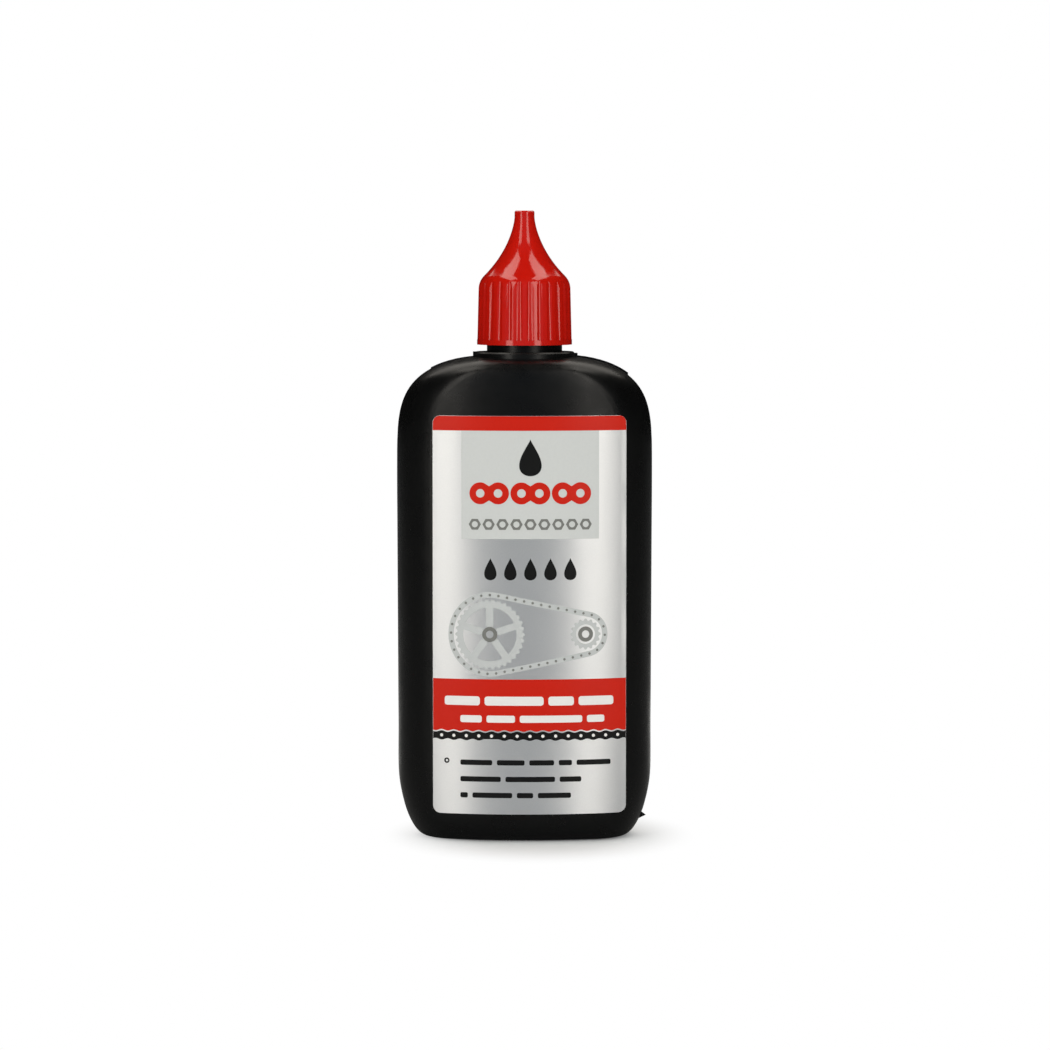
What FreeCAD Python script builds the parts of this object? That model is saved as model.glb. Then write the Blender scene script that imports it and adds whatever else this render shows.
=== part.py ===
import FreeCAD, Part
import math
import os

# Chain lube bottle: a blown oval bottle, a dropper insert in its neck, a pointed
# screw cap and a film label. Millimetres, +Z up, the label faces -Y, and the
# origin is the centre of the base.

# Bottle body
BODY_WIDTH = 54.0
BODY_DEPTH = 28.0
BODY_HEIGHT = 101.74
BODY_TAPER = 0.3
PANEL_RADIUS = 56.1
WALL = 1.1

# Shoulders, seen from the front and from the side
SIDE_SHOULDER_HEIGHT = 26.7
SIDE_SHOULDER_RISE = 4.8
FRONT_SHOULDER_HEIGHT = 13.7
FRONT_SHOULDER_RISE = 8.0
SHOULDER_ROLL = 2.0
SHOULDER_STOP = 0.08

# Base rounding, seen from the front and from the side
SIDE_BASE_HEIGHT = 14.2
SIDE_BASE_DROP = 6.27
SIDE_BASE_RISE = 1.53
FRONT_BASE_HEIGHT = 6.0
FRONT_BASE_DROP = 4.5
FRONT_BASE_RISE = 2.0
BASE_ROLL = 2.15

# Push-up in the base, with the weld line of the closed tube
STANDING_RING = 3.5
PUSH_UP = 1.3
PUSH_UP_SLOPE = 2.5
WELD_LENGTH = 20.0
WELD_WIDTH = 0.6
WELD_HEIGHT = 0.4

# Moulding flash along the parting line
FIN_THICKNESS = 0.5
LEFT_FIN_REACH = 19.8
LEFT_FIN_HEIGHT = 0.2
RIGHT_FIN_REACH = 21.9
RIGHT_FIN_HEIGHT = 0.35
BURR_LENGTH = 1.2
BURR_LOW = 3.1
BURR_HIGH = 5.2
BURR_THICKNESS = 0.35

# Collar and neck
COLLAR_RADIUS = 10.6
COLLAR_DEPTH = 0.45
COLLAR_RISE = 1.0
COLLAR_CHAMFER = 0.3
LUG_REACH = 0.6
LUG_WIDTH = 1.6
LUG_DROP = 0.3
NECK_RADIUS = 7.3
NECK_HEIGHT = 11.55
NECK_BEAD = 0.65
NECK_BEAD_HEIGHT = 2.2
NECK_WALL = 1.1
NECK_CHAMFER = 0.3

# Dropper insert
PLUG_CLEARANCE = 0.05
PLUG_LENGTH = 6.0
PLUG_WALL = 0.9
FLANGE_LIP = 0.2
FLANGE_THICKNESS = 1.0
SPOUT_LENGTH = 13.9
SPOUT_BASE_RADIUS = 4.4
SPOUT_TIP_RADIUS = 1.0
SPOUT_WALL = 0.9
ORIFICE_RADIUS = 0.5
ORIFICE_LENGTH = 2.5

# Screw cap
THREAD_DEPTH = 1.0
THREAD_CLEARANCE = 0.3
CAP_WALL = 1.1
CAP_GAP = 1.5
SKIRT_DRAFT = 0.26
BAND_HEIGHT = 1.06
BAND_STEP = 0.07
CROWN_RISE = 0.6
CROWN_RADIUS = 4.05
CROWN_ANGLE = 45.0
FLARE_EASE_TOP = 0.08
FLARE_EASE_CROWN = 0.638
TIP_RADIUS = 2.1
TIP_LENGTH = 1.3
TIP_CHAMFER = 0.25
TIP_SOLID = 2.26
TIP_CLEARANCE = 1.0
PIN_CLEARANCE = 0.08
PIN_ENTRY = 0.8
SEAL_RING_RADIUS = 6.4
SEAL_RING_WIDTH = 1.0
FLUTE_COUNT = 28
FLUTE_RADIUS = 0.78
FLUTE_DEPTH = 0.36

# Front label
LABEL_LEFT_MARGIN = 7.75
LABEL_RIGHT_MARGIN = 5.65
LABEL_LOW_MARGIN = 6.0
LABEL_HIGH_MARGIN = 12.06
LABEL_CORNER = 1.6
LABEL_FILM = 0.1
LABEL_ADHESIVE = 0.05

# Heights and radii that follow from the sizes above
HALF_WIDTH = BODY_WIDTH / 2
HALF_DEPTH = BODY_DEPTH / 2
BEAD_RADIUS = NECK_RADIUS + NECK_BEAD
BORE_RADIUS = NECK_RADIUS - NECK_WALL
COLLAR_TOP = BODY_HEIGHT + COLLAR_RISE
COLLAR_BOTTOM = BODY_HEIGHT - COLLAR_DEPTH
NECK_TOP = COLLAR_TOP + NECK_HEIGHT
FLANGE_TOP = NECK_TOP + FLANGE_THICKNESS
SPOUT_TOP = FLANGE_TOP + SPOUT_LENGTH
CAP_BASE = COLLAR_TOP + CAP_GAP
CAP_BORE = NECK_RADIUS + THREAD_DEPTH + THREAD_CLEARANCE
CAP_CEILING = SPOUT_TOP + TIP_CLEARANCE
CAP_TOP = CAP_CEILING + TIP_SOLID
BASE_STEPS = 7
STRAIGHT_STEPS = 8
SHOULDER_STEPS = 14
PUSH_UP_STEPS = 5
CORE_STEPS = (1.0, 0.75, 0.5)


def point(x, z):
    """A point in the XZ plane, where the turned profiles are drawn."""
    return FreeCAD.Vector(x, 0, z)


def line(*corners):
    """Straight edges from corner to corner."""
    return [Part.LineSegment(a, b).toShape() for a, b in zip(corners, corners[1:])]


def turned(edges):
    """The solid that a closed profile sweeps round the Z axis."""
    return Part.Face(Part.Wire(edges)).revolve(FreeCAD.Vector(), FreeCAD.Vector(0, 0, 1), 360)


def block(low, high):
    size = [b - a for a, b in zip(low, high)]
    return Part.makeBox(*size, FreeCAD.Vector(*low))


def tube(outer, inner, low, high):
    base = FreeCAD.Vector(0, 0, low)
    return Part.makeCylinder(outer, high - low, base).cut(Part.makeCylinder(inner, high - low, base))


def rounding(share, rise, roll):
    """0 where a wall starts to bend, 1 where it lies flat; rise and roll set the curve between."""
    share = min(max(share, 0.0), 1.0)
    return 1 - (1 - share ** rise) ** (1 / roll)


def oval(half_width, half_depth, panel_radius, z):
    """A closed outline of four tangent arcs: two wide panels and two narrow sides."""
    panel_centre = panel_radius - half_depth
    spare = panel_radius - half_width
    side_centre = (panel_centre ** 2 - spare ** 2) / (2 * spare)
    side_radius = half_width - side_centre
    between_centres = panel_radius - side_radius
    x = side_centre * panel_radius / between_centres
    y = panel_centre * side_radius / between_centres
    corners = [FreeCAD.Vector(i, j, z) for i, j in ((x, -y), (x, y), (-x, y), (-x, -y))]
    crests = [
        FreeCAD.Vector(half_width, 0, z),
        FreeCAD.Vector(0, half_depth, z),
        FreeCAD.Vector(-half_width, 0, z),
        FreeCAD.Vector(0, -half_depth, z),
    ]
    edges = [Part.Arc(corners[i], crests[i], corners[(i + 1) % 4]).toShape() for i in range(4)]
    return Part.Wire(edges)


def body_section(z):
    """Half width and half depth of the bottle's outside at a height."""
    side_start = BODY_HEIGHT - SIDE_SHOULDER_HEIGHT
    front_start = BODY_HEIGHT - FRONT_SHOULDER_HEIGHT
    taper = BODY_TAPER * (1 - min(z / side_start, 1.0))
    side_base = rounding(1 - z / SIDE_BASE_HEIGHT, SIDE_BASE_RISE, BASE_ROLL)
    front_base = rounding(1 - z / FRONT_BASE_HEIGHT, FRONT_BASE_RISE, BASE_ROLL)
    side_top = rounding((z - side_start) / SIDE_SHOULDER_HEIGHT, SIDE_SHOULDER_RISE, SHOULDER_ROLL)
    front_top = rounding((z - front_start) / FRONT_SHOULDER_HEIGHT, FRONT_SHOULDER_RISE, SHOULDER_ROLL)
    half_width = HALF_WIDTH - taper - SIDE_BASE_DROP * side_base - (HALF_WIDTH - BEAD_RADIUS) * side_top
    half_depth = HALF_DEPTH - taper - FRONT_BASE_DROP * front_base - (HALF_DEPTH - BEAD_RADIUS) * front_top
    return half_width, half_depth


def body(skin, floor=0.0, ruled=False):
    """The bottle's form, grown outwards by skin (inwards if negative), with its floor raised."""

    def outline(z, place):
        half_width, half_depth = body_section(z)
        return oval(half_width + skin, half_depth + skin, PANEL_RADIUS + skin, place)

    side_start = BODY_HEIGHT - SIDE_SHOULDER_HEIGHT
    straight = side_start - SIDE_BASE_HEIGHT
    shoulder = SIDE_SHOULDER_HEIGHT - SHOULDER_STOP
    sections = []
    for step in range(BASE_STEPS):
        angle = math.pi / 2 * step / BASE_STEPS
        z = SIDE_BASE_HEIGHT * (1 - math.cos(angle) ** (2 / SIDE_BASE_RISE))
        sections.append(outline(z, z - skin + floor))
    for step in range(STRAIGHT_STEPS):
        z = SIDE_BASE_HEIGHT + straight * step / STRAIGHT_STEPS
        raised = (floor - skin) * (1 - step / STRAIGHT_STEPS)
        sections.append(outline(z, z + raised))
    for step in range(SHOULDER_STEPS + 1):
        z = side_start + shoulder * (1 - (1 - step / SHOULDER_STEPS) ** 2)
        sections.append(outline(z, z + skin * step / SHOULDER_STEPS))
    return Part.makeLoft(sections, True, ruled)


def push_up():
    """The shallow hollow in the base that leaves a standing ring."""
    half_width, half_depth = body_section(0)
    wires = []
    for step in range(PUSH_UP_STEPS):
        angle = math.pi / 2 * step / PUSH_UP_STEPS
        inset = STANDING_RING + PUSH_UP_SLOPE * (1 - math.cos(angle))
        z = PUSH_UP * math.sin(angle)
        wires.append(oval(half_width - inset, half_depth - inset, PANEL_RADIUS - inset, z))
    weld = block((-WELD_LENGTH / 2, -WELD_WIDTH / 2, PUSH_UP - WELD_HEIGHT),
                 (WELD_LENGTH / 2, WELD_WIDTH / 2, PUSH_UP + WALL))
    return Part.makeLoft(wires, True, True).cut(weld)


def flash():
    """Thin fins on both shoulders and a burr at one lower corner, in the parting plane."""
    low = BODY_HEIGHT - FRONT_SHOULDER_HEIGHT
    left = body(LEFT_FIN_HEIGHT).common(
        block((-LEFT_FIN_REACH, -FIN_THICKNESS / 2, low), (0, FIN_THICKNESS / 2, COLLAR_TOP)))
    right = body(RIGHT_FIN_HEIGHT).common(
        block((0, -FIN_THICKNESS / 2, low), (RIGHT_FIN_REACH, FIN_THICKNESS / 2, COLLAR_TOP)))
    tip_height = (BURR_LOW + BURR_HIGH) / 2
    tip = point(body_section(tip_height)[0] + BURR_LENGTH, tip_height)
    root_low = point(body_section(BURR_LOW)[0] - WALL / 2, BURR_LOW)
    root_high = point(body_section(BURR_HIGH)[0] - WALL / 2, BURR_HIGH)
    outline = Part.Face(Part.makePolygon([root_low, tip, root_high, root_low]))
    outline.translate(FreeCAD.Vector(0, -BURR_THICKNESS / 2, 0))
    burr = outline.extrude(FreeCAD.Vector(0, BURR_THICKNESS, 0))
    return [left, right, burr]


def neck():
    """The collar disc with its mould lugs, the bead under the cap and the plain neck."""
    bead_top = COLLAR_TOP + NECK_BEAD_HEIGHT
    edges = line(point(COLLAR_RADIUS, COLLAR_TOP - COLLAR_CHAMFER), point(COLLAR_RADIUS, COLLAR_BOTTOM),
                 point(0, COLLAR_BOTTOM), point(0, NECK_TOP), point(NECK_RADIUS - NECK_CHAMFER, NECK_TOP),
                 point(NECK_RADIUS, NECK_TOP - NECK_CHAMFER), point(NECK_RADIUS, bead_top + NECK_BEAD),
                 point(BEAD_RADIUS, bead_top), point(BEAD_RADIUS, COLLAR_TOP),
                 point(COLLAR_RADIUS - COLLAR_CHAMFER, COLLAR_TOP),
                 point(COLLAR_RADIUS, COLLAR_TOP - COLLAR_CHAMFER))
    reach = COLLAR_RADIUS + LUG_REACH
    right_lug = block((0, -LUG_WIDTH / 2, COLLAR_BOTTOM), (reach, LUG_WIDTH / 2, COLLAR_TOP - LUG_DROP))
    left_lug = block((LUG_DROP - reach, -LUG_WIDTH / 2, COLLAR_BOTTOM), (0, LUG_WIDTH / 2, COLLAR_TOP))
    return turned(edges).fuse([right_lug, left_lug])


def bottle():
    outside = body(0).fuse([neck()] + flash())
    cavity = body(-WALL, PUSH_UP, True)
    bore_start = BODY_HEIGHT - FRONT_SHOULDER_HEIGHT
    bore = Part.makeCylinder(BORE_RADIUS, NECK_TOP - bore_start, FreeCAD.Vector(0, 0, bore_start))
    return outside.cut([cavity, bore, push_up()]).removeSplitter()


def dropper_insert():
    """A plug with a flange on the neck's rim and a hollow conical spout."""
    plug_radius = BORE_RADIUS - PLUG_CLEARANCE
    plug_bore = plug_radius - PLUG_WALL
    plug_bottom = NECK_TOP - PLUG_LENGTH
    flange_radius = NECK_RADIUS - FLANGE_LIP
    throat = SPOUT_TOP - ORIFICE_LENGTH
    spout_bore = SPOUT_BASE_RADIUS - SPOUT_WALL
    edges = line(point(plug_bore, plug_bottom), point(plug_radius, plug_bottom), point(plug_radius, NECK_TOP),
                 point(flange_radius, NECK_TOP), point(flange_radius, FLANGE_TOP),
                 point(SPOUT_BASE_RADIUS, FLANGE_TOP), point(SPOUT_TIP_RADIUS, SPOUT_TOP),
                 point(ORIFICE_RADIUS, SPOUT_TOP), point(ORIFICE_RADIUS, throat),
                 point(spout_bore, FLANGE_TOP), point(plug_bore, NECK_TOP), point(plug_bore, plug_bottom))
    return turned(edges)


def cap_flare(top, crown):
    """The hollow-curved line from the tip down to the crown."""
    height = top.z - crown.z
    slope = math.radians(CROWN_ANGLE)
    ease = FLARE_EASE_CROWN * height
    upper = point(top.x, top.z - FLARE_EASE_TOP * height)
    lower = point(crown.x - ease * math.sin(slope), crown.z + ease * math.cos(slope))
    curve = Part.BezierCurve()
    curve.setPoles([top, upper, lower, crown])
    return curve


def flutes(foot, top):
    """Round-nosed grooves from the skirt's foot upwards, along its draft, that run out on the crown."""
    lean = top - foot
    start = foot + point(FLUTE_RADIUS - FLUTE_DEPTH, 0)
    groove = Part.makeCylinder(FLUTE_RADIUS, lean.Length + CROWN_RADIUS, start, lean)
    groove = groove.common(block((0, -foot.x, foot.z), (2 * foot.x, foot.x, CAP_TOP)))
    grooves = []
    for count in range(FLUTE_COUNT):
        turned_groove = groove.copy()
        turned_groove.rotate(FreeCAD.Vector(), FreeCAD.Vector(0, 0, 1), 360 / FLUTE_COUNT * (count + 0.5))
        grooves.append(turned_groove)
    return grooves


def cap_inside(flare, skirt_top):
    """The cap's hollow, with a ring left to seal on the insert and a pin left for its orifice."""
    core = []
    for share in CORE_STEPS:
        tangent = flare.tangent(share)[0]
        core.append(flare.value(share) + point(tangent.z, -tangent.x) * CAP_WALL)
    edges = line(point(0, CAP_BASE), point(CAP_BORE, CAP_BASE), point(CAP_BORE, skirt_top), *core,
                 point(TIP_RADIUS - CAP_WALL, CAP_CEILING), point(0, CAP_CEILING), point(0, CAP_BASE))
    ring = tube(SEAL_RING_RADIUS, SEAL_RING_RADIUS - SEAL_RING_WIDTH, FLANGE_TOP, CAP_CEILING)
    pin = Part.makeCylinder(ORIFICE_RADIUS - PIN_CLEARANCE, TIP_CLEARANCE + PIN_ENTRY,
                            point(0, SPOUT_TOP - PIN_ENTRY))
    return turned(edges).cut([ring, pin])


def cap():
    """A plain band, a fluted skirt, a round crown and a hollow-curved point with a flat tip."""
    skirt_top = point(CAP_BORE + CAP_WALL, FLANGE_TOP + CROWN_RISE)
    skirt_foot = point(skirt_top.x + SKIRT_DRAFT, CAP_BASE + BAND_HEIGHT)
    band_radius = skirt_foot.x + BAND_STEP
    tip_foot = point(TIP_RADIUS, CAP_TOP - TIP_LENGTH)

    def on_crown(angle):
        turn = math.radians(angle)
        return skirt_top + point(CROWN_RADIUS * (math.cos(turn) - 1), CROWN_RADIUS * math.sin(turn))

    flare = cap_flare(tip_foot, on_crown(CROWN_ANGLE))
    edges = line(point(0, CAP_BASE), point(band_radius, CAP_BASE), point(band_radius, skirt_foot.z),
                 skirt_foot, skirt_top)
    edges += [Part.Arc(skirt_top, on_crown(CROWN_ANGLE / 2), on_crown(CROWN_ANGLE)).toShape(), flare.toShape()]
    edges += line(tip_foot, point(TIP_RADIUS, CAP_TOP - TIP_CHAMFER), point(TIP_RADIUS - TIP_CHAMFER, CAP_TOP),
                  point(0, CAP_TOP), point(0, CAP_BASE))
    return turned(edges).cut([cap_inside(flare, skirt_top.z)] + flutes(skirt_foot, skirt_top))


def front_label():
    """A thin skin that follows the front panel inside a round-cornered outline."""
    left = LABEL_LEFT_MARGIN - HALF_WIDTH
    right = HALF_WIDTH - LABEL_RIGHT_MARGIN
    low = LABEL_LOW_MARGIN
    high = BODY_HEIGHT - LABEL_HIGH_MARGIN
    outline = block((left, -BODY_DEPTH, low), (right, 0, high))
    upright_corners = [edge for edge in outline.Edges if abs(edge.tangentAt(edge.FirstParameter).y) > 0.99]
    outline = outline.makeFillet(LABEL_CORNER, upright_corners)
    skin = body(LABEL_ADHESIVE + LABEL_FILM).cut(body(LABEL_ADHESIVE))
    return skin.common(outline)


def write(name, shape):
    solid = shape.Solids[0]
    solid.exportStep("parts/" + name + ".step")


os.makedirs("parts", exist_ok=True)
write("bottle", bottle())
write("dropper_insert", dropper_insert())
write("cap", cap())
write("front_label", front_label())
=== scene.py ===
import bisect
import math

import bmesh
import bpy
from mathutils import Color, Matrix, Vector
from mathutils.bvhtree import BVHTree
from mathutils.geometry import tessellate_polygon
from mathutils.interpolate import poly_3d_calc


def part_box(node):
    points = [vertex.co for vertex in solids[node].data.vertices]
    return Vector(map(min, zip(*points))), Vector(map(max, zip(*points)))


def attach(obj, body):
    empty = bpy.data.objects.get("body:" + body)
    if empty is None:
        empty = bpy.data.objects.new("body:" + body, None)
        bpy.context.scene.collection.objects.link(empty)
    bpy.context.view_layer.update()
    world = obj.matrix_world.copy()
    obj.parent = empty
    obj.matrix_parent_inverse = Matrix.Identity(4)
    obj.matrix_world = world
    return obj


# Chain lube bottle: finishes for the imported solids, ink on the label, screw threads and the studio.
# Shapes are drawn in millimetres in the frame of the part and turned into metres once.

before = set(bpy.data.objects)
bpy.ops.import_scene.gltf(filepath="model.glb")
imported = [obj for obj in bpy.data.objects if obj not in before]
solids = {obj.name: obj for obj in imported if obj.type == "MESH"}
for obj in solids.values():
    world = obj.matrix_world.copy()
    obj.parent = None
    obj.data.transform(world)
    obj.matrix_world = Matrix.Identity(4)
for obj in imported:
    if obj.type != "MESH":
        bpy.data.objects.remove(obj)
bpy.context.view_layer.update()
MM = 0.001

# Label print, laid out flat: across from the middle of the bottle, heights above its base
LABEL_CORNER = 1.6
EDGE_INSET = 0.05
STRIPE_FOOT = 86.58
PANEL_LEFT = -13.33
PANEL_RIGHT = 15.79
PANEL_CENTRE = (PANEL_LEFT + PANEL_RIGHT) / 2
PANEL_FOOT = 63.93

# Ink: its thickness, the strips that bend round the bottle, and how the label is looked at and unrolled
INK_FILM = 0.02
INK_STRIP_WIDTH = 1.0
INK_STRIP_HEIGHT = 3.0
LOOK_FROM = -1000.0
UNROLL_STEPS = 80

# Shading of the label's front: the radius of its bend, which is tighter towards the base
LABEL_BEND = 56.25
BASE_BEND = 50.0
EVEN_BEND_FROM = 45.0
FRONT_FACING = 0.7

# Right edge of the label, which lifts a little from the wall
EDGE_LIFT = 0.06
EDGE_LIFT_INSIDE = 1.1
EDGE_LIFT_PAST = 0.367

# Parting line round the bottle, a fine ridge
SEAM_HEIGHT = 0.04
SEAM_CORE = 0.05
SEAM_EDGE = 0.25

# Emblem on the panel: a drop over a row of chain links, with a row of nuts below
DROP_HEIGHT = 7.7
DROP_SWELL = 3.348
DROP_TAPER = 1.5
DROP_FOOT = 77.1
LINK_COUNT = 3
LINK_STEP = 8.65
LINK_PITCH = 3.75
LINK_END = 2.3
LINK_WRAP = 110.0
LINK_WAIST = 1.5
LINK_HOLE = 0.9
LINK_HEIGHT = 73.5
NUT_COUNT = 9
NUT_STEP = 2.92
NUT_RADIUS = 1.3
NUT_HOLE = 0.65
NUT_HEIGHT = 67.0

# Row of drops between the panel and the drawing
SMALL_DROP_COUNT = 5
SMALL_DROP_STEP = 4.2
SMALL_DROP_SWELL = 1.86
SMALL_DROP_HEIGHT = 4.65
SMALL_DROP_FOOT = 55.3

# Drawing of a chain drive
DRIVE_HEIGHT = 43.9
RING_X = -7.3
RING_TEETH = 34
RING_RADIUS = 8.3
RING_RIM = 1.5
SPROCKET_X = 12.9
SPROCKET_TEETH = 16
SPROCKET_RADIUS = 4.2
SPROCKET_RIM = 1.0
TOOTH = 0.45
TOOTH_SQUARENESS = 2
TOOTH_STEPS = 8
HUB_RADIUS = 1.6
HUB_HOLE = 0.8
ARM_COUNT = 5
ARM_WIDTH = 1.5
FIRST_ARM = 90.0
CHAIN_WIDTH = 1.15
CHAIN_ROLLERS = 44
ROLLER_RADIUS = 0.27

# Red band, chain strip and ring mark
BAND_TOP = 34.46
BAND_FOOT = 23.62
STRIP_TOP = 23.34
STRIP_FOOT = 21.7
STRIP_WAVE = 0.16
STRIP_STEP = 2.693
STRIP_DOTS = 15
DOT_RADIUS = 0.34
MARK_X = -16.55
MARK_HEIGHT = 17.2
MARK_RADIUS = 0.58
MARK_HOLE = 0.26

# Rows of bars, each with its middle height, the bars' height, the left end and the bars' lengths
BAR_GAP = 1.0
BAR_ROUNDING = 0.3
WHITE_ROWS = (
    (29.9, 1.9, -17.0, (7.6, 12.4, 5.4, 7.6)),
    (26.1, 1.5, -13.6, (4.6, 6.0, 13.2, 3.8)),
)
DARK_ROWS = (
    (16.9, 1.1, -13.6, (6.8, 5.8, 5.2, 2.8, 7.4)),
    (13.4, 1.1, -13.6, (8.6, 10.4, 4.6)),
    (10.0, 1.1, -13.6, (1.6, 8.4, 3.4, 7.0)),
)

# Screw threads between the neck and the cap
THREAD_PITCH = 2.9
THREAD_TURNS = 1.8
THREAD_START = 107.3
THREAD_SUNK = 0.05
NECK_RADIUS = 7.3
NECK_CREST = 7.9
CAP_BORE = 8.6
CAP_CREST = 8.0
THREAD_BASE_WIDTH = 1.5
THREAD_CREST_WIDTH = 0.6
THREAD_STEPS = 72
THREAD_FADE_STEPS = 12
THREAD_FADE_END = 0.05
THREAD_SHARP_ANGLE = 30.0

# Skirt of the cap, where the flutes are shaded as shallow waves
SKIRT_FOOT = 105.2
SKIRT_TOP = 117.0
SKIRT_FACING = 0.3
FLUTE_EASE = 0.4

# Camera, in metres and degrees, with its lens and sensor in millimetres
CAMERA_AIM = Vector((0.0001, 0.0, 0.06596))
CAMERA_ELEVATION = 3.84
CAMERA_DISTANCE = 0.961
CAMERA_REACH = 100.0
CAMERA_LENS = 155.44
SENSOR_WIDTH = 36.0

# Lamps, each with its azimuth and elevation in degrees, distance, width and height in metres, brightness
LAMP_TARGET = Vector((0.0, 0.0, 0.06))
LAMP_TONE = (1.0, 0.95, 0.87)
LAMPS = (
    ("left_softbox", -36.8, 22.5, 1.0, 0.3, 1.04, 2.95),
    ("right_softbox", 32.0, 22.5, 1.0, 0.3, 1.04, 2.95),
    ("left_strip", -82.0, 66.5, 1.1, 0.7, 0.3, 3.1),
    ("right_strip", 82.0, 66.5, 1.1, 0.7, 0.3, 3.1),
    ("rear_softbox", 180.0, 55.0, 1.1, 1.3, 0.8, 1.4),
)

# Room, with places from 0 at the front to 1 at the back: its light, and the walls that gloss sees
WHITE = (1.0, 1.0, 1.0, 1.0)
ROOM_TONE = (0.82, 0.93, 1.0, 1.0)
ROOM_FRONT = 0.75
ROOM_BACK = 0.06
ROOM_BACK_FROM = 0.6
FRONT_WALL = (0.1, 0.135, 0.175, 1.0)
SIDE_WALLS = (0.005, 0.005, 0.005, 1.0)
BACK_WALL = (0.02, 0.02, 0.02, 1.0)
SIDE_WALLS_FROM = 0.3
SIDE_WALLS_TO = 0.96

# Floor, in metres, with the card behind the part and the oval round the part where the floor is drawn
FLOOR_WHITE = 0.8
FLOOR_GLOSS = 0.24
FLOOR_ROUGHNESS = 0.9
FLOOR_LIFT = 0.05
FLOOR_SIZE = 3.0
FLOOR_DROP = 0.00005
CARD_PLACE = (0.0, 0.23, 0.0)
CARD_CORE = 0.12
CARD_EDGE = 0.2
FLOOR_CLEAR_NEAR = 0.018
FLOOR_CLEAR_FAR = 0.046
FLOOR_CLEAR_SIDE = 1.35
FLOOR_CLEAR_SHIFT = 0.003


# Finishes

def colour(red, green, blue):
    """A shader colour from the 0 to 255 values of a picture."""
    linear = Color((red / 255, green / 255, blue / 255)).from_srgb_to_scene_linear()
    return *linear, 1.0


class Graph:
    """A node tree with short ways to add nodes."""

    def __init__(self, tree):
        self.tree = tree

    def link(self, source, target):
        """Joins an output to an input."""
        self.tree.links.new(source, target)

    def add(self, kind, inputs=None, **traits):
        """A new node, where each input gets a constant or a link from another node's output."""
        node = self.tree.nodes.new("ShaderNode" + kind)
        for trait, value in traits.items():
            setattr(node, trait, value)
        for socket, value in (inputs or {}).items():
            if isinstance(value, bpy.types.NodeSocket):
                self.link(value, node.inputs[socket])
            else:
                node.inputs[socket].default_value = value
        return node

    def ranged(self, value, low, high, start=0.3, end=0.7):
        """The value's stretch from start to end, spread smoothly from low to high."""
        limits = {"Value": value, "From Min": start, "From Max": end, "To Min": low, "To Max": high}
        return self.add("MapRange", limits, interpolation_type="SMOOTHSTEP").outputs["Result"]

    def mixed(self, factor, first, second):
        """The first shader where the factor is 0, and the second where it is 1."""
        return self.add("MixShader", {0: factor, 1: first, 2: second}).outputs["Shader"]

    def seen_rays(self):
        """Two marks: 1 for rays from the camera, and 1 for rays from gloss or through clear material."""
        path = self.add("LightPath").outputs
        kinds = {0: path["Is Glossy Ray"], 1: path["Is Transmission Ray"]}
        return path["Is Camera Ray"], self.add("Math", kinds, operation="MAXIMUM").outputs["Value"]


class Finish(Graph):
    """A material on the principled shader, with the steps that the finishes share."""

    def __init__(self, name, settings):
        self.material = bpy.data.materials.new(name)
        self.material.use_nodes = True
        super().__init__(self.material.node_tree)
        self.shader = self.tree.nodes["Principled BSDF"]
        for socket, value in settings.items():
            self.shader.inputs[socket].default_value = value
        self.place = self.add("TexCoord").outputs["Object"]

    def noise(self, size, detail=2.0, stretch=(1, 1, 1)):
        """Noise from 0 to 1 with grains of a size in millimetres, longer where stretch is over 1."""
        scale = [1 / (size * MM * longer) for longer in stretch]
        mapping = self.add("Mapping", {"Vector": self.place, "Scale": scale})
        settings = {"Vector": mapping.outputs["Vector"], "Scale": 1.0, "Detail": detail}
        return self.add("TexNoise", settings).outputs["Fac"]

    def tint(self, value, dark, light):
        """Base colour between two tones."""
        node = self.add("Mix", {"Factor": value}, data_type="RGBA")
        first, second = [socket for socket in node.inputs if socket.type == "RGBA"]
        first.default_value = dark
        second.default_value = light
        output = [socket for socket in node.outputs if socket.type == "RGBA"][0]
        self.link(output, self.shader.inputs["Base Color"])

    def roughen(self, value, low, high):
        """Roughness between two levels."""
        self.link(self.ranged(value, low, high), self.shader.inputs["Roughness"])

    def bump(self, height, depth, share=1.0):
        """Relief of a depth in millimetres, or of a share of it, on top of any relief made before."""
        node = self.add("Bump", {"Height": height, "Distance": depth * MM, "Strength": share})
        normal = self.shader.inputs["Normal"]
        if normal.is_linked:
            self.link(normal.links[0].from_socket, node.inputs["Normal"])
        self.link(node.outputs["Normal"], normal)

    def along(self, axis):
        """The place of a point along an axis, in metres."""
        return self.add("SeparateXYZ", {"Vector": self.place}).outputs[axis]

    def apart(self, axis):
        """How far a point lies from the middle plane across an axis, in metres."""
        return self.add("Math", {0: self.along(axis)}, operation="ABSOLUTE").outputs["Value"]


def black_hdpe():
    """Satin blown plastic: soft orange peel, faint draw lines and a parting line round the middle."""
    finish = Finish("black_hdpe", {"IOR": 1.5, "Specular IOR Level": 0.28})
    finish.tint(finish.noise(size=9.0), colour(8, 8, 8), colour(12, 12, 12))
    finish.roughen(finish.noise(size=4.0, detail=4.0), low=0.26, high=0.33)
    finish.bump(finish.noise(size=1.1, detail=3.0), depth=0.006)
    finish.bump(finish.noise(size=0.9, detail=1.0, stretch=(1, 1, 40)), depth=0.003)
    seam = finish.ranged(finish.apart("Y"), 1.0, 0.0, SEAM_CORE * MM, SEAM_EDGE * MM)
    finish.bump(seam, SEAM_HEIGHT)
    return finish.material


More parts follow.
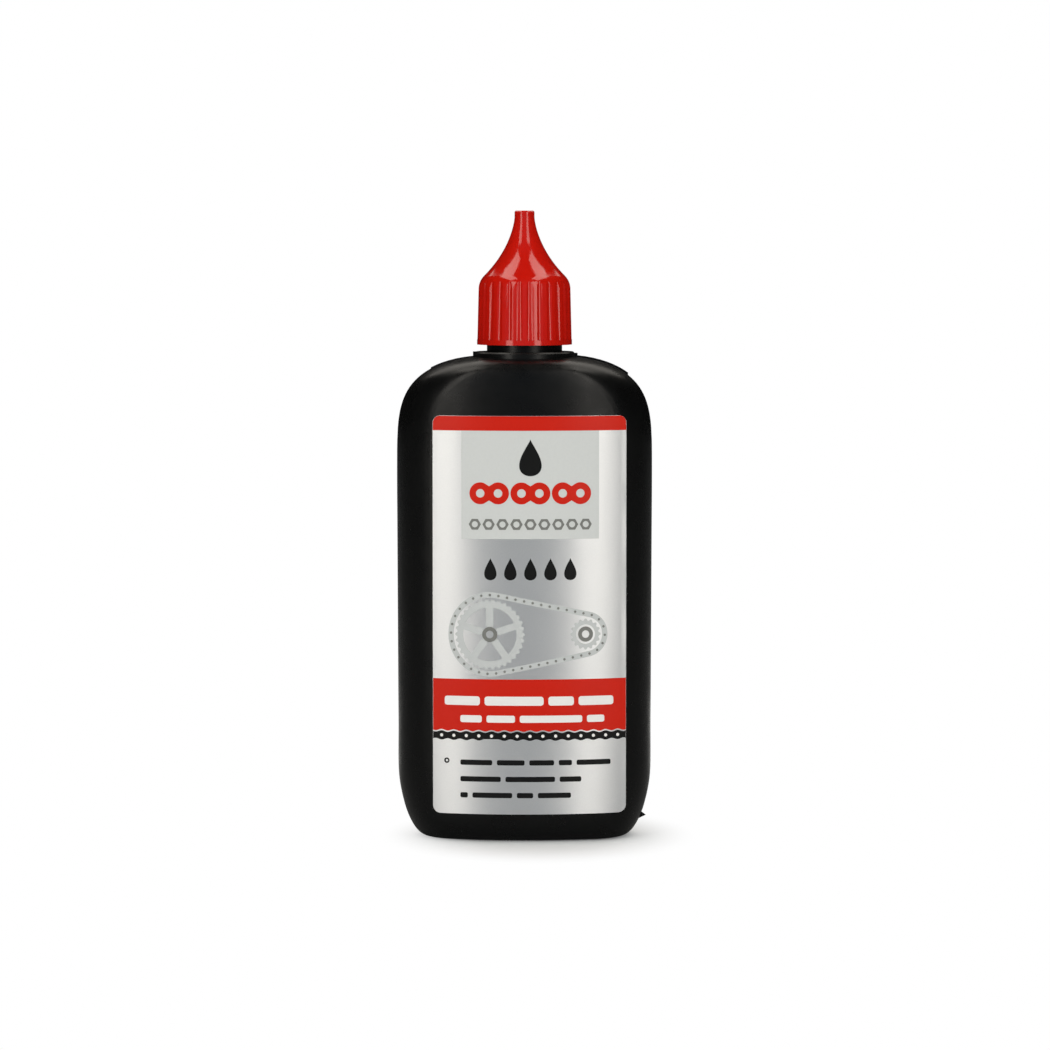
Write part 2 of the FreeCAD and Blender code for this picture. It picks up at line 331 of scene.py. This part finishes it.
def red_pp():
    """Glossy moulded plastic with a faint flow pattern."""
    finish = Finish("red_pp", {"IOR": 1.54})
    finish.tint(finish.noise(size=3.0, detail=3.0), colour(188, 20, 9), colour(199, 24, 12))
    finish.roughen(finish.noise(size=1.6, detail=4.0), low=0.08, high=0.13)
    finish.bump(finish.noise(size=0.7), depth=0.002)
    return finish.material


def natural_ldpe():
    """Milky unpigmented plastic."""
    finish = Finish("natural_ldpe", {"IOR": 1.51, "Subsurface Weight": 0.4, "Subsurface Scale": 0.002})
    finish.tint(finish.noise(size=2.5), colour(226, 225, 214), colour(238, 237, 229))
    finish.roughen(finish.noise(size=1.2, detail=3.0), low=0.32, high=0.42)
    finish.bump(finish.noise(size=0.6), depth=0.003)
    return finish.material


def silver_film():
    """Metallised film, brushed across so that its gleam runs upright; its right edge lifts in places."""
    finish = Finish("silver_film", {"Metallic": 0.74, "Anisotropic": 0.75, "Anisotropic Rotation": 0.25})
    finish.tint(finish.noise(size=0.25), colour(230, 231, 233), colour(238, 239, 240))
    finish.roughen(finish.noise(size=0.35, detail=3.0), low=0.38, high=0.45)
    finish.bump(finish.noise(size=0.12, stretch=(40, 40, 1)), depth=0.001)
    finish.bump(finish.noise(size=9.0, detail=1.0, stretch=(1, 1, 2.2)), depth=0.012)
    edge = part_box("front_label")[1].x
    start = edge - EDGE_LIFT_INSIDE * MM
    end = edge + EDGE_LIFT_PAST * MM
    patches = finish.ranged(finish.noise(size=10.0, detail=1.0), low=0.2, high=1.0)
    finish.bump(finish.ranged(finish.along("X"), 0.0, 1.0, start, end), EDGE_LIFT, share=patches)
    around = finish.add("Tangent", direction_type="RADIAL", axis="Z")
    finish.link(around.outputs["Tangent"], finish.shader.inputs["Tangent"])
    return finish.material


def ink(name, dark, light, low, high):
    """Printing ink: even colour with a little mottle and a satin surface."""
    finish = Finish(name, {"IOR": 1.5, "Specular IOR Level": 0.2})
    finish.tint(finish.noise(size=0.5, detail=3.0), dark, light)
    finish.roughen(finish.noise(size=0.4, detail=3.0), low, high)
    finish.bump(finish.noise(size=0.22), depth=0.0015)
    return finish.material


FINISHES = {
    "bottle": black_hdpe(),
    "cap": red_pp(),
    "dropper_insert": natural_ldpe(),
    "front_label": silver_film(),
}
RED_INK = ink("red_ink", colour(199, 24, 1), colour(206, 29, 4), low=0.3, high=0.38)
BLACK_INK = ink("black_ink", colour(16, 16, 16), colour(22, 22, 22), low=0.36, high=0.46)
GREY_INK = ink("grey_ink", colour(116, 116, 112), colour(126, 126, 122), low=0.4, high=0.5)
PANEL_INK = ink("panel_ink", colour(203, 204, 202), colour(209, 210, 208), low=0.42, high=0.52)
PALE_INK = ink("pale_ink", colour(190, 192, 191), colour(197, 199, 198), low=0.42, high=0.52)
WHITE_INK = ink("white_ink", colour(232, 228, 224), colour(240, 237, 234), low=0.4, high=0.5)

for node, finish in FINISHES.items():
    solids[node].data.materials.clear()
    solids[node].data.materials.append(finish)


# Flat outlines for the print, as points across and up in millimetres

def arc(x, z, radius, start=0.0, end=360.0, steps=48):
    """Points along an arc, in degrees from +X towards +Z; a full turn leaves out the repeated point."""
    count = steps if end - start >= 360 else steps + 1
    turns = [math.radians(start + (end - start) * step / steps) for step in range(count)]
    return [(x + radius * math.cos(turn), z + radius * math.sin(turn)) for turn in turns]


def rectangle(left, low, right, high, low_corner=0.0, high_corner=0.0):
    """A rectangle with its lower and its upper corners rounded or sharp."""
    def corner(x, z, radius, start):
        if not radius:
            return [(x, z)]
        inward = math.radians(start + 45)
        reach = radius * math.sqrt(2)
        centre = (x - reach * math.cos(inward), z - reach * math.sin(inward))
        return arc(*centre, radius, start, start + 90, steps=10)
    return (corner(right, high, high_corner, 0) + corner(left, high, high_corner, 90)
            + corner(left, low, low_corner, 180) + corner(right, low, low_corner, 270))


def bar(left, middle, length, height):
    """A bar with slightly rounded corners."""
    corner = height * BAR_ROUNDING
    return rectangle(left, middle - height / 2, left + length, middle + height / 2, corner, corner)


def drop(x, foot, swell, height, steps=56):
    """An oil drop that stands on its round end; swell is how far its sides would reach without the taper."""
    outline = []
    for step in range(steps):
        turn = 2 * math.pi * step / steps
        side = math.sin(turn) * math.sin(turn / 2) ** DROP_TAPER
        outline.append((x - swell * side, foot + height * (1 + math.cos(turn)) / 2))
    return outline


def plate(x, z, pitch, end, waist):
    """A chain plate: two round ends with a waist between them."""
    half = pitch / 2
    right = arc(x + half, z, end, -LINK_WRAP, LINK_WRAP, steps=24)
    left = arc(x - half, z, end, 180 - LINK_WRAP, 180 + LINK_WRAP, steps=24)
    return right + [(x, z + waist)] + left + [(x, z - waist)]


def gear(x, z, radius, teeth, depth):
    """A toothed outline with rounded teeth."""
    steps = teeth * TOOTH_STEPS
    outline = []
    for step in range(steps):
        turn = 2 * math.pi * step / steps
        reach = radius + depth * math.tanh(TOOTH_SQUARENESS * math.cos(turn * teeth))
        outline.append((x + reach * math.cos(turn), z + reach * math.sin(turn)))
    return outline


def turned_bar(x, z, near, far, width, angle):
    """A straight arm that runs outwards from a centre."""
    along = Vector((math.cos(angle), math.sin(angle)))
    across = Vector((-along.y, along.x)) * width / 2
    centre = Vector((x, z))
    corners = [along * near - across, along * far - across, along * far + across, along * near + across]
    return [tuple(centre + corner) for corner in corners]


def belt(grow):
    """The outline round both chain wheels, moved outwards."""
    span = SPROCKET_X - RING_X
    lean = math.degrees(math.acos((RING_RADIUS - SPROCKET_RADIUS) / span))
    ring = arc(RING_X, DRIVE_HEIGHT, RING_RADIUS + grow, lean, 360 - lean, steps=64)
    sprocket = arc(SPROCKET_X, DRIVE_HEIGHT, SPROCKET_RADIUS + grow, -lean, lean, steps=40)
    return sprocket + ring


def along_belt(count):
    """Evenly spaced points on the chain's middle line."""
    outline = [Vector(corner) for corner in belt(0)]
    runs = list(zip(outline, outline[1:] + outline[:1]))
    total = sum((end - start).length for start, end in runs)
    points = []
    travelled = 0.0
    for start, end in runs:
        length = (end - start).length
        while len(points) < count and total * len(points) / count < travelled + length:
            points.append(start.lerp(end, (total * len(points) / count - travelled) / length))
        travelled += length
    return points


def wavy(left, right, height, swing, steps_per_wave=12):
    """An edge from left to right that swells at each dot of the chain strip."""
    middle = (left + right) / 2
    count = round((right - left) / STRIP_STEP * steps_per_wave)
    edge = []
    for step in range(count + 1):
        x = left + (right - left) * step / count
        edge.append((x, height + swing * math.cos(2 * math.pi * (x - middle) / STRIP_STEP)))
    return edge


# Face of the label, and shading of the solids

class LabelFace:
    """The outer face of the label, found by looking at it from the front, and its flat layout."""

    def __init__(self, label):
        self.mesh = label.data
        self.tree = BVHTree.FromPolygons([vertex.co for vertex in self.mesh.vertices],
                                         [polygon.vertices for polygon in self.mesh.polygons])
        low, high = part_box(label.name)
        self.top = high.z / MM - EDGE_INSET
        self.level = (low.z + high.z) / 2
        self.right_half = self.unrolled(high.x - EDGE_INSET * MM)
        self.left_half = self.unrolled(low.x + EDGE_INSET * MM)
        self.right = self.right_half[-1][0] / MM
        self.left = -self.left_half[-1][0] / MM

    def unrolled(self, end):
        """Pairs of the way along the film from the middle, and the place across, out to an edge."""
        places = [end * step / UNROLL_STEPS for step in range(UNROLL_STEPS + 1)]
        points = [self.at(x, self.level)[0] for x in places]
        pairs = [(0.0, points[0].x)]
        for before, after in zip(points, points[1:]):
            pairs.append((pairs[-1][0] + (after - before).length, after.x))
        return pairs

    def across(self, way):
        """The place across the bottle of a point on the flat layout, in metres."""
        pairs = self.right_half if way > 0 else self.left_half
        way = min(abs(way), pairs[-1][0])
        after = max(1, bisect.bisect_left(pairs, (way,)))
        (start, x_start), (end, x_end) = pairs[after - 1:after + 1]
        return x_start + (x_end - x_start) * (way - start) / (end - start)

    def at(self, x, z):
        """The point in front of (x, z) and the smooth direction outwards there, in metres."""
        hit, _, index, _ = self.tree.ray_cast(Vector((x, LOOK_FROM * MM, z)), Vector((0, 1, 0)))
        polygon = self.mesh.polygons[index]
        corners = [self.mesh.vertices[corner].co for corner in polygon.vertices]
        outwards = Vector()
        for weight, loop in zip(poly_3d_calc(corners, hit), polygon.loop_indices):
            outwards += weight * self.mesh.corner_normals[loop].vector
        return hit, outwards.normalized()


def reshade(node, turned):
    """Gives each corner of a solid the shading direction that turned works out; its shape stays."""
    mesh = solids[node].data
    directions = []
    for loop, corner in zip(mesh.loops, mesh.corner_normals):
        place = mesh.vertices[loop.vertex_index].co / MM
        directions.append(turned(place, Vector(corner.vector)))
    mesh.normals_split_custom_set(directions)


def even_panel(place, outwards):
    """An even bend over the front of the label, without the slight ripples of the blown wall."""
    if outwards.y > -FRONT_FACING:
        return outwards
    bend = BASE_BEND + (LABEL_BEND - BASE_BEND) * min(1, place.z / EVEN_BEND_FROM)
    lean = place.x / bend
    return Vector((lean, -math.sqrt(1 - lean ** 2), 0))


def shallow_flute(place, outwards):
    """Flutes of the skirt eased towards the plain round of the cap."""
    away = Vector((place.x, place.y, 0)).normalized()
    if not SKIRT_FOOT < place.z < SKIRT_TOP or outwards.dot(away) < SKIRT_FACING:
        return outwards
    level = Vector((outwards.x, outwards.y, 0)).normalized()
    eased = level.lerp(away, FLUTE_EASE) * Vector((outwards.x, outwards.y)).length
    return Vector((eased.x, eased.y, outwards.z)).normalized()


reshade("front_label", even_panel)
reshade("cap", shallow_flute)
label_face = LabelFace(solids["front_label"])
LEFT = label_face.left
RIGHT = label_face.right


# Ink on the label

def new_piece(name, mesh, finish, body):
    """Puts a mesh into the scene as a piece that rides on a body."""
    piece = bpy.data.objects.new(name, mesh)
    bpy.context.scene.collection.objects.link(piece)
    mesh.materials.append(finish)
    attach(piece, body)


def flat_fill(shapes):
    """Flat triangles in the XZ plane for outlines, each given as a list with its holes after it."""
    flat = bmesh.new()
    for loops in shapes:
        corners = [flat.verts.new((x * MM, 0, z * MM)) for loop in loops for x, z in loop]
        for triangle in tessellate_polygon([[(x, z, 0) for x, z in loop] for loop in loops]):
            flat.faces.new([corners[index] for index in triangle])
    return flat


def cut_strips(flat):
    """Cuts the fill into strips small enough to bend round the bottle."""
    widths = Vector((1, 0, 0)), INK_STRIP_WIDTH * MM
    heights = Vector((0, 0, 1)), INK_STRIP_HEIGHT * MM
    for along, step in (widths, heights):
        places = [vertex.co.dot(along) for vertex in flat.verts]
        for count in range(math.ceil(min(places) / step), math.floor(max(places) / step) + 1):
            geometry = flat.verts[:] + flat.edges[:] + flat.faces[:]
            bmesh.ops.bisect_plane(flat, geom=geometry, plane_co=along * count * step, plane_no=along)


def printed(name, finish, shapes, layer=1):
    """A thin closed layer of ink laid on the label; layer 2 lies on layer 1."""
    flat = flat_fill(shapes)
    cut_strips(flat)
    raised = bmesh.ops.extrude_face_region(flat, geom=flat.faces[:], use_keep_orig=True)["geom"]
    tops = {item for item in raised if isinstance(item, bmesh.types.BMVert)}
    outwards = []
    for vertex in flat.verts:
        hit, normal = label_face.at(label_face.across(vertex.co.x), vertex.co.z)
        top = vertex in tops
        vertex.co = hit + normal * INK_FILM * MM * (layer if top else layer - 1)
        outwards.append(normal if top else -normal)
    bmesh.ops.recalc_face_normals(flat, faces=flat.faces)
    for face in flat.faces:
        face.smooth = True
    mesh = bpy.data.meshes.new(name)
    flat.to_mesh(mesh)
    flat.free()
    mesh.normals_split_custom_set_from_vertices(outwards)
    new_piece(name, mesh, finish, "bottle_body")


def in_row(count, step, centre=PANEL_CENTRE):
    """Places spread evenly about a centre."""
    return [centre + step * (place - (count - 1) / 2) for place in range(count)]


def bars(rows):
    """The bars of some rows, laid from left to right."""
    shapes = []
    for middle, height, left, lengths in rows:
        for length in lengths:
            shapes.append([bar(left, middle, length, height)])
            left += length + BAR_GAP
    return shapes


def print_fields():
    """The red stripe, the grey panel, the red band and the chain strip."""
    stripe = rectangle(LEFT, STRIPE_FOOT, RIGHT, label_face.top, 0, LABEL_CORNER - EDGE_INSET)
    printed("red_stripe", RED_INK, [[stripe]])
    printed("grey_panel", PANEL_INK, [[rectangle(PANEL_LEFT, PANEL_FOOT, PANEL_RIGHT, STRIPE_FOOT)]])
    band = wavy(LEFT, RIGHT, BAND_FOOT, STRIP_WAVE) + [(RIGHT, BAND_TOP), (LEFT, BAND_TOP)]
    printed("red_band", RED_INK, [[band]])
    low_edge = wavy(LEFT, RIGHT, STRIP_FOOT, -STRIP_WAVE)
    strip = low_edge + wavy(LEFT, RIGHT, STRIP_TOP, STRIP_WAVE)[::-1]
    printed("chain_strip", BLACK_INK, [[strip]])
    middle = (STRIP_TOP + STRIP_FOOT) / 2
    dots = in_row(STRIP_DOTS, STRIP_STEP, (LEFT + RIGHT) / 2)
    printed("chain_dots", WHITE_INK, [[arc(x, middle, DOT_RADIUS, steps=16)] for x in dots], 2)


def print_emblem():
    """The drop, chain links and nuts on the panel, and the row of drops under it."""
    printed("emblem_drop", BLACK_INK, [[drop(PANEL_CENTRE, DROP_FOOT, DROP_SWELL, DROP_HEIGHT)]], 2)
    links = []
    for x in in_row(LINK_COUNT, LINK_STEP):
        holes = [arc(x + side * LINK_PITCH / 2, LINK_HEIGHT, LINK_HOLE, steps=24) for side in (-1, 1)]
        links.append([plate(x, LINK_HEIGHT, LINK_PITCH, LINK_END, LINK_WAIST)] + holes)
    printed("emblem_links", RED_INK, links, 2)
    nuts = []
    for x in in_row(NUT_COUNT, NUT_STEP):
        nuts.append([arc(x, NUT_HEIGHT, NUT_RADIUS, steps=6), arc(x, NUT_HEIGHT, NUT_HOLE, steps=20)])
    printed("emblem_nuts", GREY_INK, nuts, 2)
    drops = []
    for x in in_row(SMALL_DROP_COUNT, SMALL_DROP_STEP):
        drops.append([drop(x, SMALL_DROP_FOOT, SMALL_DROP_SWELL, SMALL_DROP_HEIGHT)])
    printed("small_drops", BLACK_INK, drops)


def print_drive():
    """A pale chain drive: a large ring with arms, a small sprocket and the chain round both."""
    wheels = []
    hubs = []
    rims = (
        (RING_X, RING_RADIUS, RING_TEETH, RING_RIM),
        (SPROCKET_X, SPROCKET_RADIUS, SPROCKET_TEETH, SPROCKET_RIM),
    )
    for x, radius, teeth, rim in rims:
        inner = radius - CHAIN_WIDTH
        wheels.append([gear(x, DRIVE_HEIGHT, inner, teeth, TOOTH / 2), arc(x, DRIVE_HEIGHT, inner - rim)])
        hubs.append([arc(x, DRIVE_HEIGHT, HUB_RADIUS), arc(x, DRIVE_HEIGHT, HUB_HOLE)])
    reach = RING_RADIUS - CHAIN_WIDTH - RING_RIM
    for count in range(ARM_COUNT):
        angle = math.radians(FIRST_ARM + 360 / ARM_COUNT * count)
        wheels.append([turned_bar(RING_X, DRIVE_HEIGHT, HUB_RADIUS, reach, ARM_WIDTH, angle)])
    printed("drive_wheels", PALE_INK, wheels)
    printed("drive_hubs", GREY_INK, hubs, 2)
    printed("drive_chain", PALE_INK, [[belt(CHAIN_WIDTH / 2), belt(-CHAIN_WIDTH / 2)]])
    rollers = [[arc(x, z, ROLLER_RADIUS, steps=12)] for x, z in along_belt(CHAIN_ROLLERS)]
    printed("drive_rollers", GREY_INK, rollers, 2)


def print_rows():
    """White bars on the red band, and dark bars with a ring mark at the foot of the label."""
    printed("white_bars", WHITE_INK, bars(WHITE_ROWS), 2)
    printed("dark_bars", BLACK_INK, bars(DARK_ROWS))
    outer = arc(MARK_X, MARK_HEIGHT, MARK_RADIUS, steps=28)
    hole = arc(MARK_X, MARK_HEIGHT, MARK_HOLE, steps=20)
    printed("ring_mark", BLACK_INK, [[outer, hole]])


print_fields()
print_emblem()
print_drive()
print_rows()


# Screw threads

def thread(name, root, crest, finish, body):
    """A screw ridge that grows from the root radius to the crest and fades out at both ends."""
    form = bmesh.new()
    sunk = root + math.copysign(THREAD_SUNK, root - crest)
    steps = round(THREAD_TURNS * THREAD_STEPS)
    rings = []
    for step in range(steps + 1):
        turn = 2 * math.pi * step / THREAD_STEPS
        height = THREAD_START + THREAD_PITCH * step / THREAD_STEPS
        fade = min(1.0, step / THREAD_FADE_STEPS, (steps - step) / THREAD_FADE_STEPS)
        top = root + (crest - root) * max(fade, THREAD_FADE_END)
        profile = ((sunk, -THREAD_BASE_WIDTH), (top, -THREAD_CREST_WIDTH), (top, THREAD_CREST_WIDTH),
                   (sunk, THREAD_BASE_WIDTH))
        ring = []
        for radius, width in profile:
            corner = Vector((radius * math.cos(turn), radius * math.sin(turn), height + width / 2))
            ring.append(form.verts.new(corner * MM))
        rings.append(ring)
    for lower, upper in zip(rings, rings[1:]):
        for side in range(len(lower)):
            after = (side + 1) % len(lower)
            form.faces.new((lower[side], lower[after], upper[after], upper[side]))
    form.faces.new(rings[0])
    form.faces.new(rings[-1][::-1])
    bmesh.ops.recalc_face_normals(form, faces=form.faces)
    mesh = bpy.data.meshes.new(name)
    form.to_mesh(mesh)
    form.free()
    mesh.shade_smooth()
    mesh.set_sharp_from_angle(angle=math.radians(THREAD_SHARP_ANGLE))
    new_piece(name, mesh, finish, body)


thread("neck_thread", NECK_RADIUS, NECK_CREST, FINISHES["bottle"], "bottle_body")
thread("cap_thread", CAP_BORE, CAP_CREST, FINISHES["cap"], "cap_body")


# Studio

def direction(azimuth, elevation):
    """From the part towards a place in the studio; azimuth 0 is the front and grows to the right."""
    turn = math.radians(azimuth)
    lift = math.radians(elevation)
    return Vector((math.sin(turn) * math.cos(lift), -math.cos(turn) * math.cos(lift), math.sin(lift)))


def softbox(name, azimuth, elevation, distance, width, height, brightness):
    """A rectangular lamp that faces the part, as bright as a white sheet times brightness."""
    lamp = bpy.data.lights.new(name, "AREA")
    lamp.color = LAMP_TONE
    lamp.shape = "RECTANGLE"
    lamp.size = width
    lamp.size_y = height
    lamp.energy = brightness * math.pi * width * height
    holder = bpy.data.objects.new(name, lamp)
    bpy.context.scene.collection.objects.link(holder)
    towards = direction(azimuth, elevation)
    holder.location = LAMP_TARGET + towards * distance
    holder.rotation_euler = towards.to_track_quat("Z", "Y").to_euler()
    holder.visible_camera = False


def studio_world():
    """White to the camera, a cool dim room as light, and in gloss a dark room with a dim wall in front."""
    world = bpy.data.worlds.new("studio")
    bpy.context.scene.world = world
    world.use_nodes = True
    graph = Graph(world.node_tree)
    # The Y of a direction runs from -1 at the front to 1 at the back
    place = graph.add("TexCoord").outputs["Generated"]
    backwards = graph.add("SeparateXYZ", {"Vector": place}).outputs["Y"]
    depth = graph.add("MapRange", {"Value": backwards, "From Min": -1.0}).outputs["Result"]
    fall = {"Value": depth, "From Max": ROOM_BACK_FROM, "To Min": ROOM_FRONT, "To Max": ROOM_BACK}
    room = graph.tree.nodes["Background"]
    room.inputs["Color"].default_value = ROOM_TONE
    graph.link(graph.add("MapRange", fall).outputs["Result"], room.inputs["Strength"])
    walls = graph.add("ValToRGB", {"Fac": depth})
    ramp = walls.color_ramp.elements
    ramp[0].color = FRONT_WALL
    ramp[1].color = BACK_WALL
    for position in (SIDE_WALLS_FROM, SIDE_WALLS_TO):
        ramp.new(position).color = SIDE_WALLS
    mirrored = graph.add("Background", {"Color": walls.outputs["Color"]})
    white = graph.add("Background", {"Color": WHITE})
    camera, gloss = graph.seen_rays()
    inside = graph.mixed(gloss, room.outputs["Background"], mirrored.outputs["Background"])
    seen = graph.mixed(camera, inside, white.outputs["Background"])
    graph.link(seen, graph.tree.nodes["World Output"].inputs["Surface"])


def studio_floor():
    """A pale floor that takes the part's shadow and runs out into the white backdrop.

    Gloss sees it as grey, with a white card behind the part.
    """
    bpy.ops.mesh.primitive_plane_add(size=FLOOR_SIZE, location=(0, 0, -FLOOR_DROP))
    floor = bpy.context.active_object
    floor.name = "floor"
    settings = {"Roughness": FLOOR_ROUGHNESS, "Specular IOR Level": 0.0, "Emission Color": WHITE}
    paint = Finish("floor", settings)
    camera, gloss = paint.seen_rays()
    behind = paint.add("VectorMath", {0: paint.place, 1: CARD_PLACE}, operation="DISTANCE")
    card = paint.ranged(behind.outputs["Value"], FLOOR_WHITE, FLOOR_GLOSS, CARD_CORE, CARD_EDGE)
    tone = paint.add("Mix", {"Factor": gloss, "A": FLOOR_WHITE, "B": card})
    paint.link(tone.outputs["Result"], paint.shader.inputs["Base Color"])
    lift = paint.add("Math", {0: camera, 1: FLOOR_LIFT}, operation="MULTIPLY")
    paint.link(lift.outputs["Value"], paint.shader.inputs["Emission Strength"])
    shift = (-FLOOR_CLEAR_SHIFT * FLOOR_CLEAR_SIDE, 0, 0)
    sides = (FLOOR_CLEAR_SIDE, 1, 1)
    oval = paint.add("Mapping", {"Vector": paint.place, "Location": shift, "Scale": sides})
    reach = paint.add("VectorMath", {0: oval.outputs["Vector"]}, operation="LENGTH")
    far = paint.ranged(reach.outputs["Value"], 0.0, 1.0, FLOOR_CLEAR_NEAR, FLOOR_CLEAR_FAR)
    clear = paint.add("Math", {0: far, 1: camera}, operation="MULTIPLY")
    glow = paint.add("Emission")
    seen = paint.mixed(clear.outputs["Value"], paint.shader.outputs["BSDF"], glow.outputs["Emission"])
    paint.link(seen, paint.tree.nodes["Material Output"].inputs["Surface"])
    floor.data.materials.append(paint.material)


def studio_camera():
    """A long lens in front of the part, a little above its middle."""
    lens = bpy.data.cameras.new("camera")
    lens.lens = CAMERA_LENS
    lens.sensor_width = SENSOR_WIDTH
    lens.clip_end = CAMERA_REACH
    camera = bpy.data.objects.new("camera", lens)
    bpy.context.scene.collection.objects.link(camera)
    towards = direction(0, CAMERA_ELEVATION)
    camera.location = CAMERA_AIM + towards * CAMERA_DISTANCE
    camera.rotation_euler = towards.to_track_quat("Z", "Y").to_euler()
    bpy.context.scene.camera = camera


studio_world()
studio_floor()
for lamp in LAMPS:
    softbox(*lamp)
studio_camera()
bpy.context.scene.view_settings.view_transform = "Standard"
